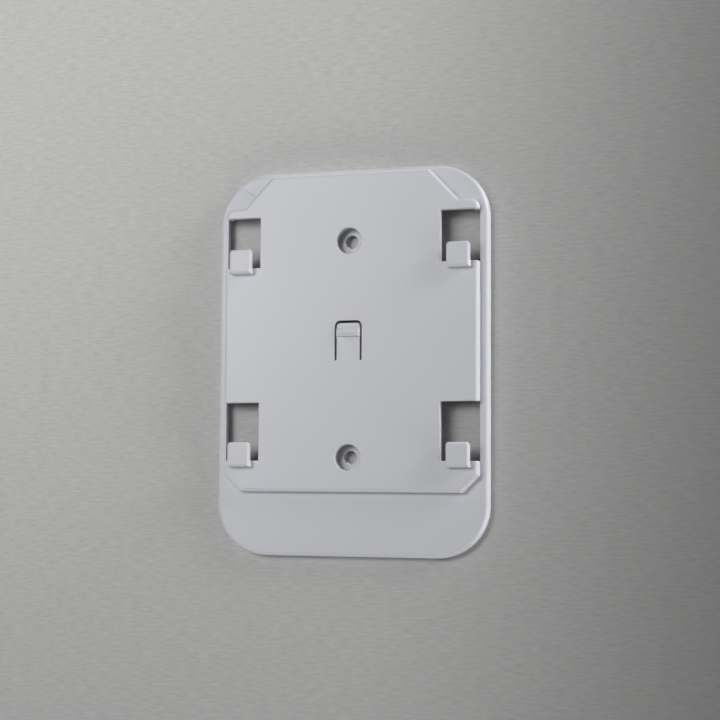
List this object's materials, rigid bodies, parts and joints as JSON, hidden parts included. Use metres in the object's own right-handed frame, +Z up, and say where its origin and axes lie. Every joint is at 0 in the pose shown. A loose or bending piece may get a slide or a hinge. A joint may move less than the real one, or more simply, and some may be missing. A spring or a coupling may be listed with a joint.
{
  "type": "wall mounting plate",
  "caption": "Rounded wall plate with a raised pad, hook windows, a spring latch tongue and counterbored screw holes, for hanging a network device.",
  "frame": {"origin": "midway between the two screw holes, on the wall face", "axes": "+Z up, the plate faces -Y, +Y into the wall, +X to the right seen from the front"},
  "size_m": [0.0784, 0.0072, 0.1074],
  "materials": {
    "white_abs": "satin, finely textured mould surface"
  },
  "bodies": {
    "plate": {"boss_web_lower": "white_abs", "boss_web_upper": "white_abs", "flange_plate": "white_abs", "hook_stem_lower_left": "white_abs", "hook_stem_lower_right": "white_abs", "hook_stem_upper_left": "white_abs", "hook_stem_upper_right": "white_abs", "hook_tab_lower_left": "white_abs", "hook_tab_lower_right": "white_abs", "hook_tab_upper_left": "white_abs", "hook_tab_upper_right": "white_abs", "latch_rib": "white_abs", "mounting_pad": "white_abs", "rim_wall": "white_abs", "screw_boss_lower": "white_abs", "screw_boss_upper": "white_abs", "side_rib_left": "white_abs", "side_rib_right": "white_abs", "stiffener_left": "white_abs", "stiffener_right": "white_abs"},
    "latch": {"latch_tongue": "white_abs", "latch_barb": "white_abs"}
  },
  "joints": [
    {"name": "latch_flex", "type": "hinge", "parent": "plate", "child": "latch", "pos_m": [0, -0.0038, -0.0032], "axis": [-1, 0, 0], "range_deg": [0, 9], "stiffness_Nm_per_rad": 0.64}
  ]
}
